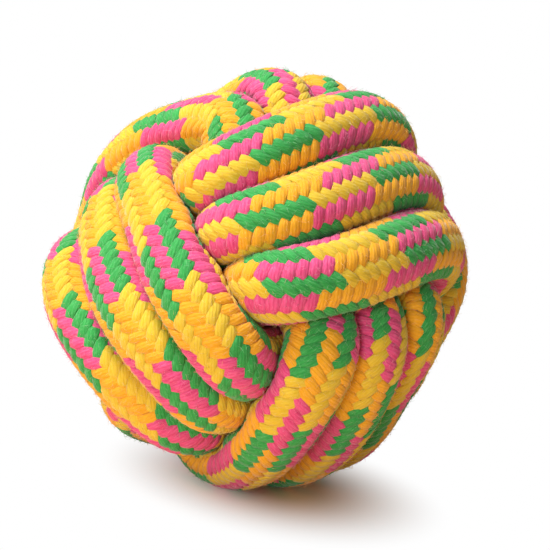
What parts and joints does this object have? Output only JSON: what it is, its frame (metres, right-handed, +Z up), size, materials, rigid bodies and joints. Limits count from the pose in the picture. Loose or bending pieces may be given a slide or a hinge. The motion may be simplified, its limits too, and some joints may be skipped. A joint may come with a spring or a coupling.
{
  "type": "rope dog toy",
  "caption": "Rope ball dog toy: a monkey's fist knot of thick multicoloured braided cotton rope tied round a core ball, resting on a pressed flat.",
  "frame": {"origin": "on the ground plane under the middle of the ball's box, where the ball stands", "axes": "+Z up, +X to the right and +Y away as the ball is seen from the front"},
  "size_m": [0.1066, 0.1032, 0.1005],
  "materials": {
    "rope_cotton": "solid braid of soft mercerised cotton yarn in yellow, orange, green and pink",
    "binding_tape": "cream cotton whipping",
    "core": "plain turned ball, hidden inside the knot"
  },
  "bodies": {
    "root": {"rope": "rope_cotton", "start_binding": "binding_tape", "end_binding": "binding_tape", "core_ball": "core"}
  },
  "joints": []
}
